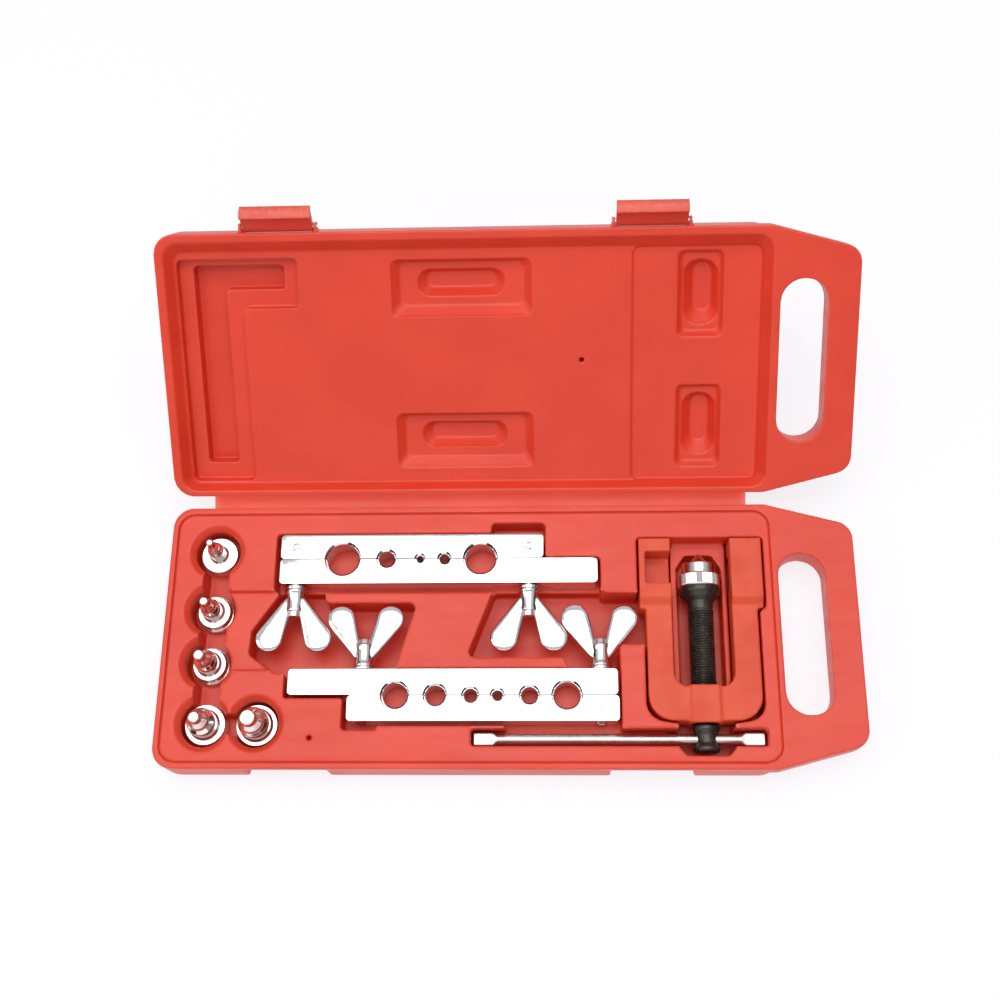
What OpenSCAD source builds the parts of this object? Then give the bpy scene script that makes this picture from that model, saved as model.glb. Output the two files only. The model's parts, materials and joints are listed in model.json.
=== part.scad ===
// Flaring tool kit: two flaring bars, a yoke with its feed screw and five swaging adapters,
// lying in an open blow-moulded case with a living hinge and two latches.
//
// The part's frame: +Z up, +X to the handle, -Y to the front, origin at the centre of the base's
// underside. Most modules are drawn in the tray frame instead: x from the case's left end, d from
// the hinge line towards the front, and z up from the rim where the two halves meet.

/* [Case] */
// Length over the handle
case_len = 340; // [338:0.5:342]
// Hinge line to the front wall
case_front = 134.4; // [134:0.1:136]
// Height of the lower half, from underside to rim
base_h = 24; // [24:0.5:26]
// Height of the upper half
lid_h = 23; // [23:0.5:24]
// Thickness of each half of the handle
handle_h = 14; // [12:0.5:16]
// Wall of the blow moulding
wall = 1.8; // [1.6:0.1:2]
// Radius of the moulding's outer edge
edge_r = 4; // [3:0.5:5]
// Angle of the lid from closed
lid_open = 143.6; // [100:0.1:170]
// Angle of a latch from engaged
latch_open = 55; // [30:1:90]
// Diameter of the blow hole in each half
vent_d = 2.5; // [2:0.1:3]

/* [Bars] */
// Width of each half of a flaring bar
half_w = 12.7; // [12:0.1:12.8]
// Height of a flaring bar
bar_h = 12.7; // [12:0.1:12.8]
// Gap between the two halves of a bar
jaw_gap = 0.3; // [0.2:0.05:0.4]
// Slack that the jaw can move before its washers meet the bar
jaw_slack = 0.45; // [0.4:0.05:0.5]
// Diameter of a clamp bolt
bolt_d = 6; // [5.5:0.1:6.2]
// Diameter of the pin through a clamp bolt
pin_d = 3.4; // [3:0.1:3.6]
// Thickness of a wing nut's blades
blade_t = 4.6; // [4:0.1:5]

/* [Yoke and screw] */
// Distance between the arms of the yoke
yoke_gap = 29; // [28:0.5:29]
// Diameter of the feed screw
screw_d = 12.7; // [12:0.1:12.8]
// Diameter of the retaining collar
collar_d = 21; // [20:0.1:21]
// Diameter of the T-handle's rod
rod_d = 5.4; // [5:0.1:5.4]
// Diameter of the thrust ball
ball_d = 4.9; // [4.5:0.1:4.9]

/* [Adapters] */
// Thickness of an adapter's flange
flange_t = 8; // [7:0.5:8]
// Height of an adapter's punch above its flange
punch_h = 21.5; // [20:0.5:21.5]

/* [Hidden] */
$fn = 48;

// Radial clearance of a running fit
run = 0.05;
// How far a cutting shape reaches past the face it opens
over = 1;
// Straight pieces in a rounded corner
arc_steps = 6;
// The least radius left on a corner
least_r = 0.3;

// Hinge line behind the origin, and half of the strip between the two halves
web_half = 3;
hinge_y = case_front - (case_front - web_half) / 2;
web_t = 1.2;
web_x = [20.5, 288.5];

// Outline of a case half: the body, then the handle that narrows to its end
body_x = 300;
taper_x = 297.4;
handle_d = [14.2, 122.8];
slot_x = [302.4, 325.3];
slot_d = [28.9, 108.9];

// Levels of the lower half's tray
tray_z = -2;
low_z = -5;
adapter_floor = -16;
bar_top = -1.3;
bar_floor = bar_top - bar_h - 0.1;
deep_floor = -21.5;
ledge_z = -12;

// Latches: middle of each, its width, and the pin it turns on in the lid's frame
latch_mid = [61.2, 240.5];
latch_w = 34;
latch_recess_mid = [63.5, 239];
latch_recess_w = 40;
latch_pin_r = 1.2;
latch_at = [case_front + 2.6, -3];
lip_h = 4.6;

// Axis of the feed screw, and places along it measured from the hinge line
screw_x = 264.7;
screw_z = -10.2;
cone_tip_d = 25.9;
cone_r = 6;
holder_r = 8.3;
lip_d = 37.6;
flange_d = 44.2;
thread_d = 55.5;
eye_d = [112.2, 125.2];
rod_at_d = 118.9;
rod_x = [153.5, 292.3];

// Yoke: arms, foot and the slot that grips a bar
yoke_d = [20.5, 94.5, 111];
arm_out = 30.2;
foot_out = 27.2;
arm_z = [-20.4, 0];
foot_z = [-17.6, -2.8];
grip_d = [27.5, 43.5];
grip_x = 12.7;
boss_w = 15.6;
boss_h = 16.6;
boss_len = 18.2;

// Adapters: centre, flange radius, then the punch's radii from its root to its tip
ADAPTERS = [
    [[22.9, 25.8], 9.3, 4.0, 2.7, 1.7],
    [[22.5, 55.7], 9.3, 4.8, 3.4, 2.1],
    [[22.3, 82.3], 9.4, 5.5, 4.0, 2.5],
    [[22.6, 112.2], 10, 6.8, 4.7, 2.7],
    [[48.1, 112.4], 10.2, 7.4, 5.8, 3.7]];
pocket_r = 11.4;
mouth = 2.6;
flange_top = adapter_floor + 0.1 + flange_t;

// Bars: parting line, ends of the long and short halves, bolt places, side that the nuts are on,
// and the tube holes as [x, diameter]
BAR_A = [30, [55.6, 214], [55.6, 187.3], [63.2, 180], 1,
    [[87, 15.9], [109, 7.9], [125.7, 3.2], [138, 4.8], [156, 15]]];
BAR_B = [98.9, [63, 223], [92.5, 223.4], [99.1, 214.9], -1,
    [[115.5, 12], [135, 9.5], [152, 6.35], [165, 4.8], [180.5, 7.9], [198.5, 12.7]]];
sink = 1.3;
pin_s = -6.6;
tip_out = 12.2;
tip_s = 39.3;
tip_r = 6.9;
hub_r = 4.3;
nut_len = 11.5;

// ---- frames ----

module tray() {
    translate([-case_len / 2, hinge_y, base_h]) mirror([0, 1, 0]) children();
}

module lid_at_rest() {
    translate([-case_len / 2, hinge_y, base_h]) rotate([180 - lid_open, 0, 0]) children();
}

// Turns a shape drawn along Z so that it runs along d, or along x
module along_d(x, d, z) {
    translate([x, d, z]) rotate([-90, 0, 0]) children();
}

module along_x(x, d, z) {
    translate([x, d, z]) rotate([90, 0, 90]) children();
}

// ---- outlines ----

function unit(v) = v / norm(v);

function corners(x0, d0, x1, d1) = [[x0, d0], [x1, d0], [x1, d1], [x0, d1]];

// An anticlockwise outline moved outwards by g
function grown(p, g) = let (n = len(p)) [for (i = [0 : n - 1])
    let (u = unit(p[i] - p[(i + n - 1) % n]), w = unit(p[(i + 1) % n] - p[i]),
        nu = [u.y, -u.x], nw = [w.y, -w.x])
    p[i] + g * (nu + nw) / (1 + nu * nw)];

// One corner b of an outline, between a and c, as the points of an arc
function arc(a, b, c, r, g) = let (u = unit(b - a), w = unit(c - b),
        turn = atan2(u.x * w.y - u.y * w.x, u * w),
        want = max(r + sign(turn) * g, least_r) * tan(abs(turn) / 2),
        t = min(want, 0.49 * min(norm(b - a), norm(c - b))),
        start = b - u * t,
        centre = start + sign(turn) * t / tan(abs(turn) / 2) * [-u.y, u.x],
        s = start - centre)
    [for (k = [0 : arc_steps]) let (v = turn * k / arc_steps)
        centre + [s.x * cos(v) - s.y * sin(v), s.x * sin(v) + s.y * cos(v)]];

// The outline with every corner rounded; r is one radius or a list of them
function rounded(p, r, g = 0) = let (q = grown(p, g), n = len(q))
    [for (i = [0 : n - 1])
        each arc(q[(i + n - 1) % n], q[i], q[(i + 1) % n], is_list(r) ? r[i] : r, g)];

// Straight-sided block between two heights
module block(p, r, z0, z1, g = 0) {
    translate([0, 0, z0]) linear_extrude(z1 - z0) polygon(rounded(p, r, g));
}

// Solid through several level outlines with the same number of points, as [height, outline]
module loft(levels) {
    n = len(levels[0][1]);
    top = len(levels) - 1;
    points = [for (level = levels) for (p = level[1]) [p.x, p.y, level[0]]];
    sides = [for (k = [0 : top - 1]) for (i = [0 : n - 1]) let (j = (i + 1) % n)
        [k * n + i, (k + 1) * n + i, (k + 1) * n + j, k * n + j]];
    polyhedron(points, concat([[for (i = [0 : n - 1]) i]],
        [[for (i = [n - 1 : -1 : 0]) top * n + i]], sides));
}

// ---- case ----

BODY = corners(0, web_half, body_x, case_front);
WHOLE = [[0, web_half], [taper_x, web_half], [case_len, handle_d[0]], [case_len, handle_d[1]],
    [taper_x, case_front], [0, case_front]];

// Slab with a rounded lower edge, from z = -h up to the rim, drawn inwards by g on every side
module slab(p, r, h, g) {
    e = edge_r;
    loft(concat([for (v = [0 : 30 : 90])
        [-h + g + e * (1 - cos(v)), rounded(p, r, -g - e * (1 - sin(v)))]],
        [[-g, rounded(p, r, -g)]]));
}

module moulding(h, g) {
    slab(BODY, 10, h, g);
    slab(WHOLE, [10, 6, 9, 9, 6, 10], handle_h, g);
}

module handle_slot(g) {
    block(corners(slot_x[0], slot_d[0], slot_x[1], slot_d[1]), (slot_x[1] - slot_x[0]) / 2 - 0.1,
        -base_h, over, g);
}

// A recess open at the top, with its floor at z; g grows it by the wall
module recess(p, r, z, g) {
    block(p, r, z - g, over, g);
}

module adapter_pockets(g) {
    for (a = ADAPTERS) {
        translate([a[0].x, a[0].y, adapter_floor - g])
            cylinder(r = pocket_r + g, h = over - adapter_floor + g);
        translate([a[0].x, a[0].y, tray_z - mouth - g])
            cylinder(r1 = pocket_r + g, r2 = pocket_r + mouth + over + g, h = mouth + over);
    }
    recess(corners(17, 27, 30, 110), 1, adapter_floor, g);
    recess(corners(24, 107.4, 47, 117.4), 1, adapter_floor, g);
}

module bar_pockets(g) {
    recess([[53, 16.7], [161.5, 16.7], [161.5, 11.5], [188.2, 11.5],
        [188.2, 29.4], [215.6, 29.4], [215.6, 46.6], [53, 46.6]], 2, bar_floor, g);
    recess([[61, 85], [224.6, 85], [224.6, 116.8], [169, 116.8], [169, 113.6], [107, 113.6],
        [107, 115.6], [90, 115.6], [90, 100.2], [61, 100.2]], 1.5, bar_floor, g);
}

module wing_pockets(g) {
    recess([[55, 45], [78.6, 45], [78.6, 51.8], [124.6, 51.8], [113.8, 88], [56, 88], [42, 78],
        [42.6, 66], [55, 48]], 3, deep_floor, g);
    recess([[162.5, 45], [215.6, 45], [215.6, 48], [237.2, 48], [237.2, 73.6], [224.2, 73.6],
        [224.2, 88], [199.5, 88], [197.5, 79.6], [149.4, 79.6]], 3, deep_floor, g);
}

module yoke_pocket(g) {
    recess([[233.6, 19.6], [296, 19.6], [296, 55], [292.8, 58], [292.8, 110], [277.6, 112.6],
        [251.8, 112.6], [236.4, 110], [236.4, 58], [233.6, 55]], [2, 2, 2, 2, 11, 2, 2, 11, 2, 2],
        deep_floor, g);
    recess([[251.4, 108], [278, 108], [278, 124], [274.5, 127.6], [254.9, 127.6], [251.4, 124]], 2,
        deep_floor, g);
}

// Raised floor between the arms of the yoke, with a channel for the screw
module yoke_ledge(g) {
    difference() {
        block(corners(250.9, 18, 278.5, 93.6), 5, -base_h - over, ledge_z - g, -g);
        block([[253.7, 33], [258, 26.2], [271.4, 26.2], [275.7, 33], [275.7, 95], [253.7, 95]], 2,
            deep_floor - g, over, g);
        block(corners(253.7, 80, 275.7, 100), 1, deep_floor - g, over, g);
    }
}

module rod_pocket(g) {
    recess(corners(152.3, 114.7, 293.4, 123.2), 2, screw_z - 4.2, g);
    recess(corners(246, 114.7, 293.4, 123.2), 2, deep_floor, g);
}

// Middle part of the tray, a step lower than the rest
module low_area(g) {
    recess([[29.5, 46.4], [215, 46.4], [219, 48], [236.6, 48], [236.6, 74], [224.4, 74],
        [224.4, 86.4], [29.5, 86.4]], 1.5, low_z, g);
}

module latch_recesses(g) {
    for (mid = latch_recess_mid) {
        block(corners(mid - latch_recess_w / 2, case_front - 4.6, mid + latch_recess_w / 2,
            case_front + 9), 1, -base_h - over, -lip_h + g, g);
    }
}

// Everything cut into the lower half, drawn g larger on every side
module base_cuts(g) {
    recess(corners(2.8, 6.3, 299.4, 131.2), 8, tray_z, g);
    adapter_pockets(g);
    bar_pockets(g);
    wing_pockets(g);
    low_area(g);
    rod_pocket(g);
    difference() {
        yoke_pocket(g);
        yoke_ledge(g);
    }
    latch_recesses(g);
    handle_slot(g);
}

module case_base() {
    color("tomato") tray() difference() {
        moulding(base_h, 0);
        base_cuts(0);
        difference() {
            moulding(base_h, wall);
            base_cuts(wall);
        }
        translate([75, 119.3, tray_z - wall - over]) cylinder(d = vent_d, h = 2 * over + wall);
    }
}

module web() {
    translate([web_x[0], 0, -web_t]) cube([web_x[1] - web_x[0], web_half, web_t]);
}

module hinge_web_base() {
    color("tomato") tray() web();
}

module hinge_web_lid() {
    color("tomato") lid_at_rest() web();
}

// Recess for the adapters' tips in the lid's floor: a wide step and a deep channel, both L-shaped.
// The others take the tools' tops, as [top level, top outline, bottom level, bottom outline, radius]
LID_FLOOR = -6;
LID_STEP = -7.2;
lip = 0.4;
LEDGE = -11;
TIP = -18.5;
PAD = -10.5;
function ell(x0, d0, x1, d1, x2, d2) = [[x0, d0], [x1, d0], [x1, d1], [x2, d1], [x2, d2], [x0, d2]];
LID_RECESSES = concat(
    [for (d = [15.9, 92.2]) each [
        [LID_FLOOR, corners(114.2, d, 182.9, d + 27.8),
            PAD, corners(118.4, d + 5.2, 178.8, d + 26.4), 3.5],
        [PAD, corners(126.9, d + 9.6, 169.6, d + 22.8),
            -15, corners(131.4, d + 13.6, 165.2, d + 21.4), 6]]],
    [for (d = [14.9, 80.6]) each [
        [LID_STEP, corners(253.6, d, 275.8, d + 41.8),
            PAD, corners(255.8, d + 2.6, 273.8, d + 40.4), 3],
        [PAD, corners(257, d + 5.6, 273.2, d + 37.2),
            -16, corners(261.6, d + 12, 270.4, d + 35.4), 7]]]);

module lid_cuts(g) {
    inner = corners(8.2, 8.6, 294, 124.8);
    loft([[LID_FLOOR - g, rounded(inner, 5, g)], [over, rounded(corners(3.6, 5.4, 299.2, 131.4), 8, g)]]);
    recess(corners(231.4, 8.6, 294, 124.8), 4, LID_STEP, g);
    recess(ell(9.2, 9.8, 40.6, 97.4, 68.6, 121.7), 3, LEDGE, g);
    recess(ell(16.2, 18.3, 31.6, 106.3, 61, 118.2), 2, TIP, g);
    for (r = LID_RECESSES) {
        // The bottom's radius stays under half of its width, and the mouth has a short upright lip
        low_r = min(r[4], norm(r[3][1] - r[3][0]) / 2 - 0.3, norm(r[3][2] - r[3][1]) / 2 - 0.3);
        loft([[r[2] - g, rounded(r[3], low_r, g)], [r[0] - lip - g, rounded(r[1], r[4], g)],
            [r[0] + over / 2, rounded(r[1], r[4], g)]]);
    }
    handle_slot(g);
}

// Ears on the lid's front wall that hold a latch's pin
module latch_ears() {
    for (mid = latch_mid, side = [-1, 1]) {
        difference() {
            along_x(mid + side * (latch_w / 2 + 1.2) - 0.9, 0, 0) linear_extrude(1.8)
                polygon(rounded([[case_front - 0.9, -8.5], [case_front + 1.6, -7.8],
                    [case_front + 4.6, -5], [case_front + 4.6, -1], [case_front - 0.9, -1]], 0.8));
            along_x(mid + side * (latch_w / 2 + 1.2) - 3, latch_at.x, latch_at.y)
                cylinder(r = latch_pin_r, h = 6);
        }
    }
}

module case_lid() {
    color("tomato") lid_at_rest() difference() {
        union() {
            moulding(lid_h, 0);
            latch_ears();
        }
        lid_cuts(0);
        difference() {
            moulding(lid_h, wall);
            lid_cuts(wall);
        }
        translate([207, 69.9, LID_FLOOR - wall - over]) cylinder(d = vent_d, h = 2 * over + wall);
    }
}

// Side view of a latch hanging from its pin: u away from the pin, v outwards
module latch_profile() {
    difference() {
        union() {
            circle(r = 2.3);
            polygon([[0, -2.3], [7.9, -2.3], [8, -4.2], [8.7, -4.4], [10.2, -2.6], [11, -1.2],
                [11, 1.9], [10, 2.2], [8.8, 0.9], [6, 0.9], [4.6, 1.7], [3.2, 0.9], [0, 0.9]]);
        }
        circle(r = latch_pin_r + run);
    }
}

module latch(mid) {
    color("tomato") lid_at_rest() translate([mid - latch_w / 2, latch_at.x, latch_at.y])
        rotate([90 - latch_open, 0, 0]) rotate([90, 0, 90]) linear_extrude(latch_w) mirror([0, 1])
            latch_profile();
}

module latch_left() {
    latch(latch_mid[0]);
}

module latch_right() {
    latch(latch_mid[1]);
}

module latch_pins() {
    color("silver") lid_at_rest() for (mid = latch_mid) {
        along_x(mid - latch_w / 2 - 2.3, latch_at.x, latch_at.y)
            cylinder(r = latch_pin_r, h = latch_w + 4.6);
    }
}

// ---- yoke and screw ----

module yoke_arm(side) {
    x0 = side < 0 ? screw_x - arm_out : screw_x + yoke_gap / 2;
    along_x(x0, 0, 0) linear_extrude(arm_out - yoke_gap / 2)
        polygon([[yoke_d[0], arm_z[0]], [50, arm_z[0]], [53, foot_z[0]], [56, foot_z[0]],
            [56, foot_z[1]], [54.2, foot_z[1]], [51, arm_z[1]], [yoke_d[0], arm_z[1]]]);
}

module yoke() {
    out = foot_out;
    in = yoke_gap / 2;
    color("tomato") tray() difference() {
        union() {
            yoke_arm(-1);
            yoke_arm(1);
            block([[screw_x - out, 52], [screw_x - in, 52], [screw_x - in, yoke_d[1]],
                [screw_x + in, yoke_d[1]], [screw_x + in, 52], [screw_x + out, 52],
                [screw_x + out, yoke_d[2]], [screw_x - out, yoke_d[2]]],
                [1, 1, 7, 7, 1, 1, 12, 12], foot_z[0], foot_z[1]);
            along_d(screw_x, yoke_d[1] - 0.8, screw_z) linear_extrude(boss_len)
                polygon(rounded(corners(-boss_w / 2, -boss_h / 2, boss_w / 2, boss_h / 2), 2));
        }
        along_d(screw_x, yoke_d[1] - 2, screw_z) cylinder(d = screw_d + 2 * run, h = 30);
        // One grip slot opens upwards and the other downwards, so the yoke turns onto a bar
        translate([screw_x - in - grip_x, grip_d[0], screw_z - 1.8])
            cube([grip_x + over, grip_d[1] - grip_d[0], 20]);
        translate([screw_x + in - over, grip_d[0], screw_z + 1.8 - 20])
            cube([grip_x + over, grip_d[1] - grip_d[0], 20]);
    }
}

// Half sections are [radius, place along d]
module turned(points) {
    along_d(screw_x, 0, screw_z) rotate_extrude() polygon(points);
}

module feed_screw() {
    r = screw_d / 2;
    eye_r = 6.5;
    color("dimgray") tray() difference() {
        turned([[0, lip_d - 1.6], [4, lip_d - 1.6], [4, 42], [9.35, 42], [9.35, flange_d],
            [10.1, flange_d], [10.1, flange_d + 2.4], [6.1, thread_d - 0.6], [5.8, thread_d],
            [r, thread_d + 0.8], [r, 110.6], [5.4, 111.2], [5.4, eye_d[0]], [eye_r, eye_d[0] + 0.6],
            [eye_r, 114.6], [5.1, 116.8], [5.1, 121], [eye_r, 123],
            [eye_r, eye_d[1] - 0.8], [eye_r - 0.8, eye_d[1]], [0, eye_d[1]]]);
        along_x(screw_x - 10, rod_at_d, screw_z) cylinder(r = rod_d / 2 + run, h = 20);
    }
}

module thrust_ball() {
    color("silver") tray() translate([screw_x, 33.5, screw_z]) sphere(d = ball_d);
}

module flaring_cone() {
    shoulder = cone_tip_d + cone_r;
    color("silver") tray() difference() {
        turned([[0, cone_tip_d], [0.4, cone_tip_d + 0.2], [cone_r, shoulder], [holder_r - 0.4, shoulder],
            [holder_r, shoulder + 0.4], [holder_r, lip_d + 1.4], [9.3, lip_d + 1.4], [9.3, 41.9],
            [0, 41.9]]);
        turned([[0, 30.9], [2.6, 30.9], [2.6, lip_d - 1.7], [4 + run, lip_d - 1.7], [4 + run, 43],
            [0, 43]]);
    }
}

module retaining_collar() {
    color("silver") tray() turned([[holder_r + run, lip_d], [collar_d / 2 - 0.5, lip_d],
        [collar_d / 2, lip_d + 0.5], [collar_d / 2, flange_d - 0.6], [collar_d / 2 - 0.5, flange_d - 0.1],
        [9.4, flange_d - 0.1], [9.4, lip_d + 1.35], [holder_r + run, lip_d + 1.35]]);
}

module t_handle() {
    r = rod_d / 2;
    end_len = 9.4;
    end_w = 6.6;
    end_t = 4.4;
    color("silver") tray() {
        along_x(rod_x[0] + 3, rod_at_d, screw_z) cylinder(r = r, h = rod_x[1] - rod_x[0] - 6);
        for (x0 = [rod_x[0], rod_x[1] - end_len]) {
            translate([x0, rod_at_d - end_w / 2, screw_z - end_t / 2]) cube([end_len, end_w, end_t]);
        }
    }
}

// ---- adapters ----

module adapter(n) {
    a = ADAPTERS[n - 1];
    disc = a[1];
    stepped = n == 2 || n == 3 ? 1.1 : 0;
    h = flange_t;
    color("silver") tray() translate([a[0].x, a[0].y, flange_top - h]) rotate_extrude()
        polygon([[0, 3.4], [4, 0], [disc - 0.6, 0], [disc, 0.6], [disc, h / 2],
            [disc - stepped, h / 2 + stepped / 4], [disc - stepped, h - 0.3], [disc - stepped - 0.3, h],
            [a[2] + 0.8, h], [a[2], h + 0.8], [a[2], h + 0.42 * punch_h], [a[3], h + 0.5 * punch_h],
            [a[3], h + 0.64 * punch_h], [a[4], h + 0.76 * punch_h], [a[4], h + punch_h - 0.5],
            [a[4] - 0.5, h + punch_h], [0, h + punch_h]]);
}

module adapter_1() {
    adapter(1);
}

module adapter_2() {
    adapter(2);
}

module adapter_3() {
    adapter(3);
}

module adapter_4() {
    adapter(4);
}

module adapter_5() {
    adapter(5);
}

// ---- flaring bars ----

// Heights of a bar's underside and middle
bar_low = bar_top - bar_h;
bar_mid = bar_top - bar_h / 2;

// A half of a bar lies from s = low to s = high, where s grows from the parting line to the nuts
module bar_block(bar, ends, low, high) {
    s = bar[4];
    d = [bar[0] + s * low, bar[0] + s * high];
    block(corners(ends[0], min(d), ends[1], max(d)), 2, bar_low, bar_top);
}

// Tube holes on the parting line, each countersunk for the flare
module tube_holes(bar) {
    for (hole = bar[5]) {
        r = hole[1] / 2;
        translate([hole[0], bar[0], 0]) {
            translate([0, 0, bar_low - over]) cylinder(r = r, h = bar_h + 2 * over);
            translate([0, 0, bar_top - sink]) cylinder(r1 = r, r2 = r + 1.5 * sink, h = 1.5 * sink);
        }
    }
}

// A shape of revolution about a clamp bolt, with its half section as [radius, s]
module on_bolt(bar, x, points) {
    translate([x, bar[0], bar_mid]) rotate([-90 * bar[4], 0, 0]) rotate_extrude() polygon(points);
}

module bolt_bores(bar, low, high) {
    r = bolt_d / 2 + 2 * run;
    for (x = bar[3]) {
        on_bolt(bar, x, [[0, low], [r, low], [r, high], [0, high]]);
    }
}

module long_half(bar) {
    color("silver") tray() difference() {
        bar_block(bar, bar[1], jaw_gap / 2, half_w + jaw_gap / 2);
        tube_holes(bar);
        bolt_bores(bar, -over, half_w + 2 * over);
    }
}

module short_half(bar) {
    color("silver") tray() difference() {
        bar_block(bar, bar[2], -half_w + 0.2, -jaw_gap / 2);
        tube_holes(bar);
        bolt_bores(bar, -half_w - over, over);
        for (x = bar[3]) {
            translate([x, bar[0] + bar[4] * pin_s, bar_low - over])
                cylinder(d = pin_d, h = bar_h + 2 * over);
        }
    }
}

module clamp_bolts(bar) {
    r = bolt_d / 2;
    head = bar[4] > 0 ? 0.4 - half_w : -1 - half_w;
    color("silver") tray() for (x = bar[3]) {
        difference() {
            on_bolt(bar, x, [[0, head], [r - 1.2, head + 0.3], [r, head + 1.4], [r, 28.4], [0, 28.4]]);
            translate([x, bar[0] + bar[4] * pin_s, bar_mid - 8]) cylinder(d = pin_d + 2 * run, h = 16);
        }
    }
}

module bolt_pins(bar) {
    color("silver") tray() for (x = bar[3]) {
        translate([x, bar[0] + bar[4] * pin_s, bar_low]) cylinder(d = pin_d, h = bar_h + 0.1);
    }
}

// Face of the long half, and where the washers and nuts start beyond it
face_s = half_w + jaw_gap / 2;
washer_s = face_s + jaw_slack;
washer_r = 5.4;
washer_t = 1.5;
nut_s = washer_s + washer_t + 0.05;

module washers(bar) {
    r = bolt_d / 2;
    color("silver") tray() for (x = bar[3]) {
        on_bolt(bar, x, [[r, washer_s], [washer_r, washer_s], [washer_r, washer_s + washer_t],
            [r, washer_s + washer_t]]);
    }
}

module wing_nut(bar, x) {
    s = bar[4];
    bore = bolt_d / 2 + run;
    color("silver") tray() difference() {
        union() {
            on_bolt(bar, x, [[0, nut_s], [5.2, nut_s], [5.2, nut_s + 1], [hub_r, nut_s + 2],
                [hub_r, nut_s + nut_len - 0.6], [hub_r - 0.6, nut_s + nut_len], [0, nut_s + nut_len]]);
            for (side = [-1, 1]) {
                translate([x, bar[0], bar_mid - blade_t / 2]) linear_extrude(blade_t) hull() {
                    translate([side * tip_out, s * tip_s]) circle(r = tip_r, $fn = 32);
                    translate([side * 3.4, s * (nut_s + 6)]) circle(r = 2.4, $fn = 32);
                }
            }
        }
        on_bolt(bar, x, [[0, nut_s - over], [bore, nut_s - over], [bore, 28.5], [0, 28.5]]);
    }
}

module bar_a_long_half() {
    long_half(BAR_A);
}

module bar_a_short_half() {
    short_half(BAR_A);
}

module bar_a_bolts() {
    clamp_bolts(BAR_A);
}

module bar_a_bolt_pins() {
    bolt_pins(BAR_A);
}

module bar_a_washers() {
    washers(BAR_A);
}

module bar_a_wing_nut_left() {
    wing_nut(BAR_A, BAR_A[3][0]);
}

module bar_a_wing_nut_right() {
    wing_nut(BAR_A, BAR_A[3][1]);
}

module bar_b_long_half() {
    long_half(BAR_B);
}

module bar_b_short_half() {
    short_half(BAR_B);
}

module bar_b_bolts() {
    clamp_bolts(BAR_B);
}

module bar_b_bolt_pins() {
    bolt_pins(BAR_B);
}

module bar_b_washers() {
    washers(BAR_B);
}

module bar_b_wing_nut_left() {
    wing_nut(BAR_B, BAR_B[3][0]);
}

module bar_b_wing_nut_right() {
    wing_nut(BAR_B, BAR_B[3][1]);
}

case_base();
hinge_web_base();
case_lid();
hinge_web_lid();
latch_left();
latch_right();
latch_pins();
yoke();
feed_screw();
thrust_ball();
flaring_cone();
retaining_collar();
t_handle();
adapter_1();
adapter_2();
adapter_3();
adapter_4();
adapter_5();
bar_a_long_half();
bar_a_short_half();
bar_a_bolts();
bar_a_bolt_pins();
bar_a_washers();
bar_a_wing_nut_left();
bar_a_wing_nut_right();
bar_b_long_half();
bar_b_short_half();
bar_b_bolts();
bar_b_bolt_pins();
bar_b_washers();
bar_b_wing_nut_left();
bar_b_wing_nut_right();
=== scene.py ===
import json
import math

import bmesh
import bpy
import numpy as np
from mathutils import Matrix, Vector


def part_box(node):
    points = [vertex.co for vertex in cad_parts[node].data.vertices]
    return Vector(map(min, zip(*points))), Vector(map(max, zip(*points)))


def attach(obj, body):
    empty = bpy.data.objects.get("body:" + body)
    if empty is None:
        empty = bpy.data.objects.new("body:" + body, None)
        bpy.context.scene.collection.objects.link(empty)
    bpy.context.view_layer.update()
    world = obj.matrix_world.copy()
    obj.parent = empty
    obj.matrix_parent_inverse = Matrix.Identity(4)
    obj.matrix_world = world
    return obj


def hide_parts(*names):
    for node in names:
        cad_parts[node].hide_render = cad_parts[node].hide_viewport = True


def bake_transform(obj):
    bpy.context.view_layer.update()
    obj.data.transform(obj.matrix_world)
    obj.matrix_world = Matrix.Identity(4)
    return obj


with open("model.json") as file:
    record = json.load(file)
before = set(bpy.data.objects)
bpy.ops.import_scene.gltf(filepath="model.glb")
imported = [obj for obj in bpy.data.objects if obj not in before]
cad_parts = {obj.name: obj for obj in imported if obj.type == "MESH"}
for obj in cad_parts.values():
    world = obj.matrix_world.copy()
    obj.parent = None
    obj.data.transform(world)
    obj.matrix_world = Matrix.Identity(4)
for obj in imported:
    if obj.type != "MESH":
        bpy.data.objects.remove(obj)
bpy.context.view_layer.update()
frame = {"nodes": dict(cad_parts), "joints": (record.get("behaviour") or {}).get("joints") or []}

# Flaring tool kit in its open case. Shapes are drawn in millimetres in a few frames that are worked
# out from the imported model, and placed in the row frame, in metres, when a piece is made.

MM = 0.001
NODES = frame["nodes"]
JOINTS = {joint["name"]: joint for joint in frame["joints"]}


# ---- frames ----

def shift(x=0, y=0, z=0):
    return Matrix.Translation((x, y, z))


def turn(degrees, axis):
    return Matrix.Rotation(math.radians(degrees), 4, axis)


# x from the case's left end, d from the hinge line to the front, z up from the rim
BASE_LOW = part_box("case_base")[0]
HINGE = Vector(JOINTS["lid_hinge"]["pos_m"])
TRAY = Matrix.Translation((BASE_LOW.x, HINGE.y, HINGE.z)) @ Matrix.Diagonal((MM, -MM, MM, 1))
# The same axes on the lid, with z negative into the lid
LID_TILT = 180 + min(JOINTS["lid_hinge"]["range_deg"])
LID = Matrix.Translation((BASE_LOW.x, HINGE.y, HINGE.z)) @ turn(LID_TILT, "X") @ Matrix.Scale(MM, 4)
INTO_TRAY = TRAY.inverted()
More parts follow.
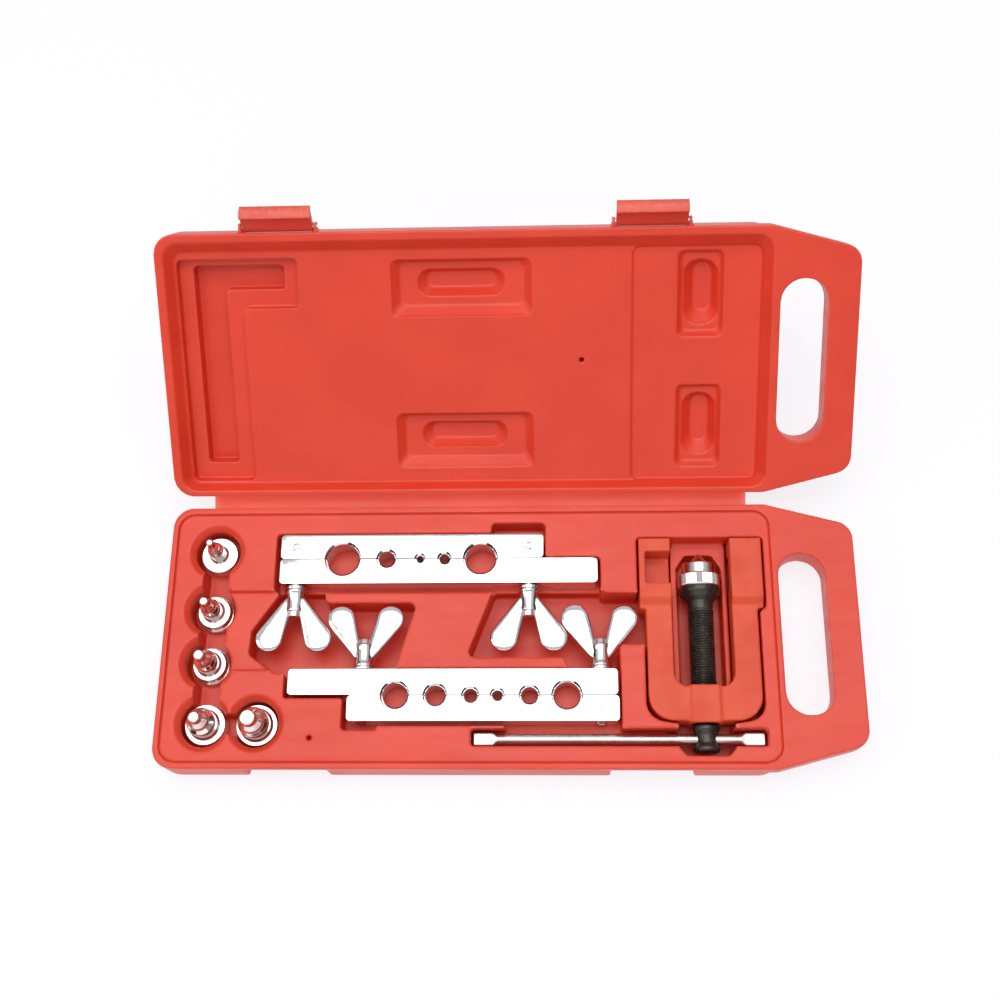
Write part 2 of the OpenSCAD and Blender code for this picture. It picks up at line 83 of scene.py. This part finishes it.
# z of each of these grows along d from the hinge line, on the feed screw's axis
SCREW_AT = INTO_TRAY @ Vector(JOINTS["screw_turn"]["pos_m"])
SCREW = TRAY @ shift(SCREW_AT.x, 0, SCREW_AT.z) @ turn(-90, "X")
ROD_D = 118.9
ROD_R = 2.7


def node_centre(node):
    low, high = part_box(node)
    return INTO_TRAY @ ((low + high) / 2)


# ---- meshes ----

def mesh_object(name, vertices, faces, matrix):
    """An object at the origin whose mesh is already in the row frame."""
    mesh = bpy.data.meshes.new(name)
    mesh.from_pydata([matrix @ Vector(v) for v in vertices], [], faces)
    tidy(mesh)
    obj = bpy.data.objects.new(name, mesh)
    bpy.context.scene.collection.objects.link(obj)
    return obj


def tidy(mesh):
    bm = bmesh.new()
    bm.from_mesh(mesh)
    bmesh.ops.recalc_face_normals(bm, faces=bm.faces)
    bm.to_mesh(mesh)
    bm.free()
    mesh.shade_smooth()


def copy_of(node, name):
    """The CAD node's mesh as one welded solid, its flat faces merged."""
    bm = bmesh.new()
    bm.from_mesh(NODES[node].data)
    bmesh.ops.remove_doubles(bm, verts=bm.verts, dist=1e-6)
    bmesh.ops.dissolve_limit(bm, angle_limit=math.radians(0.5), verts=bm.verts, edges=bm.edges)
    return object_of(bm, name)


def object_of(bm, name):
    mesh = bpy.data.meshes.new(name)
    bm.to_mesh(mesh)
    bm.free()
    mesh.shade_smooth()
    obj = bpy.data.objects.new(name, mesh)
    bpy.context.scene.collection.objects.link(obj)
    return obj


def modify(obj, kind, **settings):
    modifier = obj.modifiers.new(kind.lower(), kind)
    for key, value in settings.items():
        setattr(modifier, key, value)


def apply_all(obj, sharp=None):
    graph = bpy.context.evaluated_depsgraph_get()
    mesh = bpy.data.meshes.new_from_object(obj.evaluated_get(graph))
    obj.modifiers.clear()
    obj.data = mesh
    mesh.shade_smooth()
    if sharp is not None:
        mesh.set_sharp_from_angle(angle=math.radians(sharp))


def ease_edges(obj, width, segments=2, limit=32):
    """Rounds the sharp edges of a solid."""
    modify(obj, "BEVEL", width=width * MM, segments=segments, limit_method="ANGLE",
           angle_limit=math.radians(limit), miter_outer="MITER_ARC", use_clamp_overlap=True)
    apply_all(obj, sharp=40)


def soften(obj, voxel, rounds, share=1.0):
    """Remeshes a solid at a voxel size in mm and melts its edges, as moulding or casting does."""
    size = voxel * 1
    modify(obj, "REMESH", mode="VOXEL", voxel_size=size * MM)
    modify(obj, "SMOOTH", factor=0.5, iterations=max(1, round(rounds / (1))))
    if share < 1:
        modify(obj, "DECIMATE", ratio=share)
    apply_all(obj)


def finish_piece(obj, material, body, slot, *replaced):
    obj.data.materials.clear()
    obj.data.materials.append(material)
    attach(obj, body)
    if replaced:
        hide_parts(*replaced)


def ease(points, radius, steps=3):
    """A half section with its inner corners rounded by at most radius."""
    out = [points[0]]
    for a, p, b in zip(points, points[1:], points[2:]):
        a, p, b = Vector(a), Vector(p), Vector(b)
        start = p + (a - p) * min(radius / max((a - p).length, 1e-9), 0.45)
        end = p + (b - p) * min(radius / max((b - p).length, 1e-9), 0.45)
        for k in range(steps + 1):
            t = k / steps
            out.append(tuple(start * (1 - t) ** 2 + p * (2 * t * (1 - t)) + end * t ** 2))
    out.append(points[-1])
    return out


def lathe(name, section, matrix, segments=72, shape=None):
    """Turned solid: section is [(radius, height)], from pole to pole or closed for a ring.
    shape(radius, height, angle) may change the radius."""
    ring = section[0] == section[-1]
    rows = section[:-1] if ring else section
    vertices, rings = [], []
    for radius, height in rows:
        if radius < 1e-6:
            rings.append([len(vertices)])
            vertices.append((0, 0, height))
            continue
        start = len(vertices)
        for k in range(segments):
            angle = 2 * math.pi * k / segments
            r = shape(radius, height, angle) if shape else radius
            vertices.append((r * math.cos(angle), r * math.sin(angle), height))
        rings.append(list(range(start, start + segments)))
    faces = []
    pairs = list(zip(rings, rings[1:] + ([rings[0]] if ring else [])))
    for a, b in pairs:
        for k in range(segments):
            j = (k + 1) % segments
            if len(a) == 1 and len(b) > 1:
                faces.append((a[0], b[k], b[j]))
            elif len(b) == 1 and len(a) > 1:
                faces.append((a[k], b[0], a[j]))
            elif len(a) > 1:
                faces.append((a[k], b[k], b[j], a[j]))
    return mesh_object(name, vertices, faces, matrix)


def loft(name, rings, matrix):
    """Solid through rings of points with the same count, with flat ends."""
    n = len(rings[0])
    vertices = [p for ring in rings for p in ring]
    faces = [tuple(range(n)), tuple(range((len(rings) - 1) * n, len(rings) * n))]
    for k in range(len(rings) - 1):
        for i in range(n):
            j = (i + 1) % n
            faces.append((k * n + i, k * n + j, (k + 1) * n + j, (k + 1) * n + i))
    return mesh_object(name, vertices, faces, matrix)


# ---- materials ----

class Look:
    """A material's node tree, built a node at a time."""

    def __init__(self, name, **values):
        self.material = bpy.data.materials.new(name)
        self.material.use_nodes = True
        self.tree = self.material.node_tree
        self.shader = self.tree.nodes["Principled BSDF"]
        self.set(**values)
        self.place = self.add("TexCoord").outputs["Object"]

    def set(self, **values):
        for key, value in values.items():
            self.feed(self.shader.inputs[key.replace("_", " ")], value)

    def feed(self, socket, value):
        if isinstance(value, bpy.types.NodeSocket):
            self.tree.links.new(value, socket)
        else:
            socket.default_value = value

    def add(self, kind, inputs=None, **settings):
        node = self.tree.nodes.new("ShaderNode" + kind)
        for key, value in settings.items():
            setattr(node, key, value)
        for key, value in (inputs or {}).items():
            self.feed(node.inputs[key], value)
        return node

    def noise(self, scale, detail=3.0, roughness=0.55, stretch=None):
        """Noise from 0 to 1; scale is in features per metre."""
        place = self.place
        if stretch:
            place = self.add("Mapping", {"Vector": place, "Scale": stretch}).outputs["Vector"]
        inputs = {"Vector": place, "Scale": scale, "Detail": detail, "Roughness": roughness}
        return self.add("TexNoise", inputs).outputs["Fac"]

    def band(self, value, low, high, to_low=0.0, to_high=1.0):
        inputs = {"Value": value, "From Min": low, "From Max": high,
                  "To Min": to_low, "To Max": to_high}
        return self.add("MapRange", inputs, interpolation_type="SMOOTHSTEP").outputs["Result"]

    def sum(self, a, b, operation="ADD"):
        return self.add("Math", {0: a, 1: b}, operation=operation).outputs[0]

    def mix(self, share, a, b):
        node = self.add("Mix", data_type="RGBA")
        self.feed(node.inputs[0], share)
        self.feed(node.inputs[6], a)
        self.feed(node.inputs[7], b)
        return node.outputs[2]

    def bump(self, height, distance, strength=1.0, below=None):
        inputs = {"Height": height, "Distance": distance, "Strength": strength}
        if below:
            inputs["Normal"] = below
        return self.add("Bump", inputs).outputs["Normal"]

    def edges(self, low, high):
        """Convex edges, from the curvature of the mesh."""
        return self.band(self.add("NewGeometry").outputs["Pointiness"], low, high)


def plastic(name, colour, dark, grain):
    """Satin polyethylene: fine mould texture, slow colour drift, light scuffs, and a painted
    highlight on the convex edges.
    """
    look = Look(name, IOR=1.5)
    drift = look.noise(28, 4, 0.6)
    flow = look.noise(90, 3, 0.5, stretch=(0.35, 1.6, 1))
    body = look.mix(look.band(drift, 0.35, 0.68), dark, colour)
    rub = look.band(look.noise(420, 5, 0.7, stretch=(1, 0.12, 1)), 0.66, 0.78, 0, 0.3)
    # Painted highlight: convex edges, broken up by noise, are lightened towards pale red in place
    # of the light that rounded edges catch
    painted_edge_highlight = look.sum(look.edges(0.515, 0.58), look.noise(300, 3), "MULTIPLY")
    # The pale mix is partly this painted highlight on the edges and partly real scuffs
    highlight_and_scuff = look.sum(look.sum(painted_edge_highlight, 0.85, "MULTIPLY"), look.sum(rub, 0.16, "MULTIPLY"))
    body = look.mix(highlight_and_scuff, body, (0.93, 0.33, 0.26, 1))
    rough = look.band(look.sum(flow, rub), 0.3, 0.95, 0.36, 0.52)
    fine = look.noise(grain, 4, 0.6)
    sink = look.noise(55, 2, 0.5)
    normal = look.bump(fine, 0.0001, 0.7, look.bump(sink, 0.0004, 0.2))
    look.set(Base_Color=body, Roughness=rough, Normal=normal)
    return look.material


def enamel(name, colour, dark):
    """Baked enamel over a forging: orange peel, and convex edges paler in patches."""
    look = Look(name, IOR=1.45, Coat_Weight=0.08, Coat_Roughness=0.25)
    body = look.mix(look.band(look.noise(45, 4), 0.35, 0.65), dark, colour)
    peel = look.noise(650, 2, 0.4)
    cast = look.noise(120, 4, 0.6)
    patchy = look.band(look.noise(260, 5, 0.7), 0.5, 0.7)
    pale_edge_patches = look.sum(look.edges(0.53, 0.62), patchy, "MULTIPLY")
    body = look.mix(look.sum(pale_edge_patches, 0.5, "MULTIPLY"), body, (0.88, 0.3, 0.2, 1))
    normal = look.bump(peel, 0.0001, 0.5, look.bump(cast, 0.0004, 0.35))
    look.set(Base_Color=body, Roughness=look.band(cast, 0.3, 0.7, 0.46, 0.6), Normal=normal)
    return look.material


def plated(name, colour, stain, low, high, scratch=(1, 1, 1), depth=0.000012, wave=0.0):
    """Bright plating: faint waviness, fine polishing lines and a film of handling marks."""
    look = Look(name, Metallic=1.0)
    film = look.noise(70, 4, 0.6)
    lines = look.noise(2600, 3, 0.65, stretch=scratch)
    pits = look.band(look.noise(1500, 2), 0.7, 0.8)
    body = look.mix(look.band(film, 0.5, 0.75, 0, 0.35), colour, stain)
    rough = look.band(look.sum(film, look.sum(lines, 0.35, "MULTIPLY")), 0.45, 0.95, low, high)
    normal = look.bump(lines, depth, 0.6)
    if wave:
        normal = look.bump(look.noise(75, 2, 0.4), wave, 0.5, normal)
    normal = look.bump(pits, -depth, 0.5, normal)
    look.set(Base_Color=body, Roughness=rough, Normal=normal)
    return look.material


def black_oxide(name):
    """Oiled black oxide, rubbed brighter on the crests."""
    look = Look(name, Metallic=0.55, Coat_Weight=0.35, Coat_Roughness=0.22)
    film = look.noise(160, 4, 0.6)
    body = look.mix(look.band(film, 0.35, 0.7), (0.022, 0.018, 0.014, 1), (0.06, 0.05, 0.038, 1))
    crest = look.sum(look.edges(0.53, 0.62), look.band(look.noise(700, 4), 0.42, 0.62), "MULTIPLY")
    body = look.mix(crest, body, (0.36, 0.31, 0.25, 1))
    normal = look.bump(look.noise(1900, 3), 0.00003, 0.5)
    look.set(Base_Color=body, Roughness=look.band(film, 0.3, 0.75, 0.3, 0.48), Normal=normal)
    return look.material


CASE_RED = plastic("case_red", (0.73, 0.049, 0.019, 1), (0.68, 0.041, 0.015, 1), 2300)
LATCH_RED = plastic("latch_red", (0.71, 0.045, 0.018, 1), (0.66, 0.038, 0.014, 1), 1700)
YOKE_RED = enamel("yoke_enamel", (0.71, 0.075, 0.024, 1), (0.65, 0.058, 0.018, 1))
CHROME = plated("bar_chrome", (0.86, 0.86, 0.87, 1), (0.74, 0.73, 0.73, 1), 0.03, 0.16,
                scratch=(0.06, 1, 1), wave=0.00005)
NUT_CHROME = plated("nut_chrome", (0.86, 0.86, 0.87, 1), (0.72, 0.72, 0.73, 1), 0.03, 0.14,
                    wave=0.0002)
NICKEL = plated("adapter_nickel", (0.8, 0.78, 0.76, 1), (0.66, 0.63, 0.6, 1), 0.08, 0.24,
                scratch=(0.05, 0.05, 1.6))
STEEL = plated("polished_steel", (0.72, 0.71, 0.7, 1), (0.58, 0.56, 0.54, 1), 0.12, 0.3,
               scratch=(0.05, 1.6, 0.05))
ZINC = plated("zinc_rod", (0.66, 0.65, 0.63, 1), (0.5, 0.48, 0.45, 1), 0.22, 0.42,
              scratch=(0.05, 1, 1), depth=0.00003)
BLACK = black_oxide("black_oxide")


# ---- case ----

VENT_R = 1.25
VENT_DEPTH = 3.5


def outer_skin(node, name, vent):
    """One hollow half of the case as a solid with a blind hole where its blow hole is."""
    place = vent.to_translation()
    axis = (vent.to_3x3() @ Vector((0, 0, 1))).normalized()
    bm = bmesh.new()
    bm.from_mesh(NODES[node].data)
    bmesh.ops.remove_doubles(bm, verts=bm.verts, dist=1e-6)

    def by_vent(vertex):
        away = vertex.co - place
        return (away - axis * away.dot(axis)).length < 1.1 * VENT_R * MM

    walls = {face for face in bm.faces if all(by_vent(v) for v in face.verts)}
    first = max(bm.faces, key=lambda face: max(v.co.x for v in face.verts))
    skin, queue = {first}, [first]
    while queue:
        for edge in queue.pop().edges:
            for face in edge.link_faces:
                if face not in skin and face not in walls:
                    skin.add(face)
                    queue.append(face)
    inner = [face for face in bm.faces if face not in skin and face not in walls]
    bmesh.ops.delete(bm, geom=inner, context="FACES")
    # The hole goes on past the wall, so that it looks as dark as one that opens into the void
    rim = [e for e in bm.edges if e.is_boundary]
    deeper = bmesh.ops.extrude_edge_only(bm, edges=rim)["geom"]
    bmesh.ops.translate(bm, verts=[v for v in deeper if isinstance(v, bmesh.types.BMVert)],
                        vec=-axis * VENT_DEPTH * MM)
    bmesh.ops.holes_fill(bm, edges=[e for e in bm.edges if e.is_boundary], sides=0)
    bmesh.ops.recalc_face_normals(bm, faces=bm.faces)
    return object_of(bm, name)


def make_case():
    base = outer_skin("case_base", "case_base_shell", TRAY @ shift(75, 119.3, -2))
    soften(base, 0.6, 5, 0.4)
    finish_piece(base, CASE_RED, "case_base", "case_plastic", "case_base")
    lid = outer_skin("case_lid", "case_lid_shell", LID @ shift(207, 69.9, -6))
    soften(lid, 0.6, 5, 0.4)
    finish_piece(lid, CASE_RED, "case_lid", "case_plastic", "case_lid")


def make_living_hinge():
    """One strip that is thinned where it folds, drawn bent to the open lid's angle."""
    low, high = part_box("hinge_web_base")
    into = INTO_TRAY.to_3x3()
    x0 = (INTO_TRAY @ low).x
    length = abs((into @ (high - low)).x)
    reach, thick, thin = 4.2, 1.1, 0.55
    tilt = math.radians(LID_TILT)
    rings = []
    steps = 14
    for k in range(steps + 1):
        t = k / steps
        start, end = Vector((-reach, 0)), Vector((reach * math.cos(tilt), reach * math.sin(tilt)))
        middle = start * (1 - t) ** 2 + end * t ** 2
        slope = (end * t - start * (1 - t)).normalized()
        across = Vector((-slope.y, slope.x))
        half = 0.5 * (thin + (thick - thin) * abs(2 * t - 1) ** 0.7)
        upper = middle - across * 0.12
        lower = upper - across * 2 * half
        rings.append((upper, lower))
    vertices, faces = [], []
    columns = 60
    for c in range(columns + 1):
        x = x0 + length * c / columns
        for p in [r[0] for r in rings] + [r[1] for r in reversed(rings)]:
            vertices.append((x, -p.x, p.y))
    n = 2 * len(rings)
    faces.append(tuple(range(n)))
    faces.append(tuple(range(columns * n, columns * n + n)))
    for c in range(columns):
        for i in range(n):
            j = (i + 1) % n
            faces.append((c * n + i, c * n + j, (c + 1) * n + j, (c + 1) * n + i))
    strip = mesh_object("living_hinge", vertices, faces, TRAY)
    strip.data.set_sharp_from_angle(angle=math.radians(50))
    strip.data.materials.append(CASE_RED)
    start = TRAY @ Vector((170, 2.6, 0))
    end = LID @ Vector((170, 2.6, 0))
    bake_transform(strip)
    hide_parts("hinge_web_base", "hinge_web_lid")


def make_latches():
    for side in ("left", "right"):
        node = f"latch_{side}"
        latch = copy_of(node, f"{node}_clip")
        ease_edges(latch, 0.35, 3, 40)
        finish_piece(latch, LATCH_RED, node, "latch_plastic", node)
    NODES["latch_pins"].data.materials.clear()
    NODES["latch_pins"].data.materials.append(STEEL)


# ---- yoke and screw ----

def make_yoke():
    yoke = copy_of("yoke", "yoke_forging")
    soften(yoke, 0.5, 12, 0.6)
    finish_piece(yoke, YOKE_RED, "yoke", "yoke_paint", "yoke")


PITCH = 1.27
THREAD_DEPTH = 0.62
THREAD = (56.0, 110.4)


def threaded(radius, height, angle):
    """Right-handed 60 degree thread that fades out at both ends."""
    inside = min(height - THREAD[0], THREAD[1] - height) / (0.7 * PITCH)
    fade = min(max(inside, 0), 1)
    phase = (height / PITCH + angle / (2 * math.pi)) % 1
    groove = min(max(1.25 * (1 - abs(2 * phase - 1)) - 0.12, 0), 1)
    return radius - THREAD_DEPTH * fade * groove


def make_screw():
    r = 6.35
    flange = ease([(0, 36), (4, 36), (4, 42), (9.35, 42), (9.35, 44.2), (10.1, 44.2), (10.1, 46.8),
                   (8.3, 49.2), (6.3, 51), (5.9, 55.2), (r, 55.9)], 0.35)
    count = round((THREAD[1] - THREAD[0]) / PITCH * (10))
    thread = [(r, THREAD[0] + (THREAD[1] - THREAD[0]) * k / count) for k in range(count + 1)]
    eye = ease([(r, 110.6), (5.4, 111.2), (5.4, 112.2), (6.5, 112.8), (6.5, 114.6), (5.1, 116.8),
                (5.1, 121), (6.5, 123), (6.5, 124.4), (5.7, 125.2), (0, 125.2)], 0.5)
    screw = lathe("feed_screw_thread", flange + thread + eye, SCREW, 48, threaded)
    hole = lathe("cross_hole", [(0, -10), (ROD_R + 0.06, -10), (ROD_R + 0.06, 10), (0, 10)],
                 TRAY @ shift(SCREW_AT.x, ROD_D, SCREW_AT.z) @ turn(90, "Y"), 40)
    modify(screw, "BOOLEAN", operation="DIFFERENCE", object=hole, solver="EXACT")
    apply_all(screw, sharp=50)
    bpy.data.objects.remove(hole)
    finish_piece(screw, BLACK, "feed_screw", "black_oxide", "feed_screw")
    NODES["thrust_ball"].data.materials.clear()
    NODES["thrust_ball"].data.materials.append(STEEL)


def make_cone():
    holder = ease([(0, 25.95), (0.4, 26.1), (6, 31.9), (7.9, 31.9), (8.3, 32.4), (8.3, 39),
                   (9.3, 39), (9.3, 41.9), (4.05, 41.9), (4.05, 35.9), (2.6, 35.9), (2.6, 30.9),
                   (0, 30.9)], 0.25)
    cone = lathe("flaring_cone_turned", holder, SCREW, 96)
    cone.data.set_sharp_from_angle(angle=math.radians(40))
    finish_piece(cone, STEEL, "flaring_cone", "polished_steel", "flaring_cone")


def make_collar():
    ridges = 88
    inner, outer = 8.36, 10.5

    def knurled(radius, height, angle):
        if radius < outer - 0.2:
            return radius
        return radius - 0.16 * (0.5 + 0.5 * math.cos(ridges * angle))

    section = ease([(inner, 38.9), (inner, 37.6), (10, 37.6), (outer - 0.05, 38.1), (outer, 38.3),
                    (outer, 43.3), (outer - 0.05, 43.6), (10, 44.1), (9.4, 44.1), (9.4, 38.95)],
                   0.15, 2)
    collar = lathe("retaining_collar_knurled", section + [section[0]], SCREW, ridges * 4, knurled)
    collar.data.set_sharp_from_angle(angle=math.radians(40))
    finish_piece(collar, CHROME, "retaining_collar", "bright_chrome", "retaining_collar")


def make_t_handle():
    """Round rod whose two ends are struck flat, which keeps it in the screw."""
    low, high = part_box("t_handle")
    centre = INTO_TRAY @ ((low + high) / 2)
    half = (high - low).x / MM / 2
    stations = []
    for k in range(9):
        inset = 0.5 * (1 - math.cos(k / 8 * math.pi / 2))
        stations.append((-half + inset, 0.0, 1 - 0.12 * (1 - k / 8) ** 2))
    flat = [(9.0, 0.0), (9.6, 0.15), (10.4, 0.55), (11.2, 0.9), (12.2, 1.0)]
    stations += [(-half + at, share, 1) for at, share in flat]
    mirrored = [(-x, share, scale) for x, share, scale in reversed(stations)]
    rings = []
    for x, share, scale in stations + mirrored:
        ring = []
        for k in range(48):
            angle = 2 * math.pi * k / 48
            c, s = math.cos(angle), math.sin(angle)
            power = 2 / (2 + 5 * (1 - share))
            d = 3.3 * math.copysign(abs(c) ** power, c) * (1 - share) + ROD_R * c * share
            z = 2.2 * math.copysign(abs(s) ** power, s) * (1 - share) + ROD_R * s * share
            ring.append((x, d * scale, z * scale))
        rings.append(ring)
    rod = loft("t_handle_rod", rings, TRAY @ shift(centre.x, centre.y, centre.z))
    rod.data.set_sharp_from_angle(angle=math.radians(45))
    finish_piece(rod, ZINC, "t_handle", "zinc_rod", "t_handle")


# ---- adapters ----

PUNCHES = [(9.3, 4.0, 2.7, 1.7), (9.3, 4.8, 3.4, 2.1), (9.4, 5.5, 4.0, 2.5), (10, 6.8, 4.7, 2.7),
           (10.2, 7.4, 5.8, 3.7)]
STEPPED = (2, 3)


def make_adapters():
    flange, punch = 8, 21.5
    for n, (disc, root, neck, tip) in enumerate(PUNCHES, 1):
        node = f"adapter_{n}"
        middle = node_centre(node)
        foot = (INTO_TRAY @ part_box(node)[0]).z
        step = 1.1 if n in STEPPED else 0
        h = flange
        section = ease([(0, 3.4), (4, 0), (disc - 0.6, 0), (disc, 0.6), (disc, h / 2),
                        (disc - step, h / 2 + step / 4 + 0.01), (disc - step, h - 0.3),
                        (disc - step - 0.3, h), (root + 0.8, h), (root, h + 0.8),
                        (root, h + 0.42 * punch), (neck, h + 0.5 * punch),
                        (neck, h + 0.64 * punch), (tip, h + 0.76 * punch), (tip, h + punch - 0.5),
                        (tip - 0.5, h + punch), (0, h + punch)], 0.4)
        adapter = lathe(f"{node}_turned", section, TRAY @ shift(middle.x, middle.y, foot), 96)
        adapter.data.set_sharp_from_angle(angle=math.radians(45))
        finish_piece(adapter, NICKEL, node, "nickel_adapter", node)


# ---- bars ----

def make_nut_mesh():
    """A wing nut on its own axis, z away from the bar and 0 where it meets the washer."""
    length = 11.5
    root_x, root_z, root_r = 3.4, 6, 2.4
    tip_x, tip_z, tip_r = 12.2, 24.45, 6.9
    hub = ease([(3.05, 0), (5.2, 0), (5.2, 1.1), (4.6, 2.2), (4.3, 5), (4.1, 8),
                (4.4, length - 0.9), (3.8, length), (3.05, length), (3.05, 0)], 0.35)
    parts = [lathe("nut_hub", hub + [hub[0]], Matrix.Scale(MM, 4), 48)]
    # Each blade is a row of lenses that grow wider and thinner from the hub to the tip.
    # A power under 1 gives a lens flatter faces and fuller rims than an ellipse has.
    lenses, steps, crown = 30, 16, 0.75
    for side in (-1, 1):
        for k in range(lenses):
            t = k / (lenses - 1)
            x = side * (root_x + (tip_x - root_x) * t)
            z = root_z + (tip_z - root_z) * t
            wide = root_r + (tip_r - root_r) * t ** 0.9
            half = 2.6 - 0.8 * t
            lens = []
            for step in range(steps + 1):
                angle = math.pi * (step / steps - 0.5)
                rise = math.copysign(abs(math.sin(angle)) ** crown, angle)
                lens.append((wide * math.cos(angle) ** crown, half * rise))
            place = shift(x * MM, 0, z * MM) @ turn(90, "X") @ Matrix.Scale(MM, 4)
            parts.append(lathe("nut_lens", lens, place, 48))
    bm = bmesh.new()
    for part in parts:
        bm.from_mesh(part.data)
        bpy.data.objects.remove(part)
    nut = object_of(bm, "nut")
    soften(nut, 0.3, 9, 0.35)
    mesh = nut.data
    bpy.data.objects.remove(nut)
    return mesh


def make_bars():
    nut_mesh = make_nut_mesh()
    for bar in ("a", "b"):
        away = JOINTS[f"bar_{bar}_jaw_slide"]["axis"][1]
        for half, body in (("long", f"bar_{bar}"), ("short", f"bar_{bar}_jaw")):
            node = f"bar_{bar}_{half}_half"
            solid = copy_of(node, f"{node}_ground")
            ease_edges(solid, 0.4, 3, 35)
            finish_piece(solid, CHROME, body, "bright_chrome", node)
        for part, look, slot in (("bolts", STEEL, "polished_steel"),
                                 ("bolt_pins", STEEL, "polished_steel"),
                                 ("washers", CHROME, "bright_chrome")):
            node = f"bar_{bar}_{part}"
            solid = copy_of(node, f"{node}_turned")
            ease_edges(solid, 0.22, 2, 35)
            finish_piece(solid, look, f"bar_{bar}_jaw", slot, node)
        for side in ("left", "right"):
            node = f"bar_{bar}_wing_nut_{side}"
            low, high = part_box(node)
            start = high.y if away > 0 else low.y
            place = Vector(JOINTS[f"bar_{bar}_nut_{side}_turn"]["pos_m"])
            mesh = nut_mesh.copy()
            # The nut's own z points from the washer to its wings: -Y on bar A and +Y on bar B
            matrix = Matrix.Translation((place.x, start, place.z)) @ turn(90 * away, "X")
            mesh.transform(matrix)
            nut = bpy.data.objects.new(f"{node}_cast", mesh)
            bpy.context.scene.collection.objects.link(nut)
            finish_piece(nut, NUT_CHROME, node, "bright_chrome", node)


# ---- studio ----

def make_studio():
    scene = bpy.context.scene
    scene.view_settings.view_transform = "Standard"
    camera = bpy.data.objects.new("camera", bpy.data.cameras.new("camera"))
    camera.location = (0.02466, -0.15733, 0.64061)
    camera.rotation_euler = [math.radians(a) for a in (20.14, 2.53, 0.46)]
    camera.data.lens = 46.88
    scene.collection.objects.link(camera)
    scene.camera = camera

    # Paper that glows a little, like a sweep lit from behind, so that shadows stay pale
    look = Look("paper", Base_Color=(0.16, 0.16, 0.165, 1), Emission_Color=(0.97, 0.97, 1, 1),
                Emission_Strength=0.83)
    look.set(Roughness=look.band(look.noise(300, 3), 0.3, 0.7, 0.6, 0.75))
    look.set(Normal=look.bump(look.noise(1200, 3), 0.00005, 0.3))
    half = 3
    corners = [(-half, -half, 0), (half, -half, 0), (half, half, 0), (-half, half, 0)]
    floor = mesh_object("floor", corners, [(0, 1, 2, 3)], Matrix.Identity(4))
    floor.data.materials.append(look.material)

    world = bpy.data.worlds.new("studio")
    world.use_nodes = True
    tree = world.node_tree
    coord = tree.nodes.new("ShaderNodeTexCoord")
    split = tree.nodes.new("ShaderNodeSeparateXYZ")
    ramp = tree.nodes.new("ShaderNodeValToRGB")
    tree.links.new(coord.outputs["Generated"], split.inputs[0])
    tree.links.new(split.outputs["Z"], ramp.inputs[0])
    tree.links.new(ramp.outputs[0], tree.nodes["Background"].inputs["Color"])
    tree.nodes["Background"].inputs["Strength"].default_value = 0.56
    stops = [(0.0, 0.02), (0.26, 0.05), (0.4, 0.7), (0.6, 1.0)]
    ramp.color_ramp.elements[0].position = stops[0][0]
    ramp.color_ramp.elements[1].position = stops[-1][0]
    for place, level in stops[1:-1]:
        ramp.color_ramp.elements.new(place)
    for element, (place, level) in zip(ramp.color_ramp.elements, stops):
        element.color = (level, level, level, 1)
    scene.world = world

    def softbox(name, place, width, depth, power):
        data = bpy.data.lights.new(name, "AREA")
        data.shape, data.size, data.size_y, data.energy = "RECTANGLE", width, depth, power
        light = bpy.data.objects.new(name, data)
        light.location = place
        light.rotation_euler = (-Vector(place)).to_track_quat("-Z", "Y").to_euler()
        scene.collection.objects.link(light)

    softbox("top_softbox", (0.0, 0.2, 1.38), 1.5, 1.0, 12)
    softbox("left_softbox", (-1.2, -0.2, 0.9), 0.8, 1.0, 3)
    softbox("front_softbox", (0.0, -1.2, 0.55), 1.6, 0.7, 3.6)


make_studio()
make_case()
make_living_hinge()
make_latches()
make_yoke()
make_screw()
make_cone()
make_collar()
make_t_handle()
make_adapters()
make_bars()
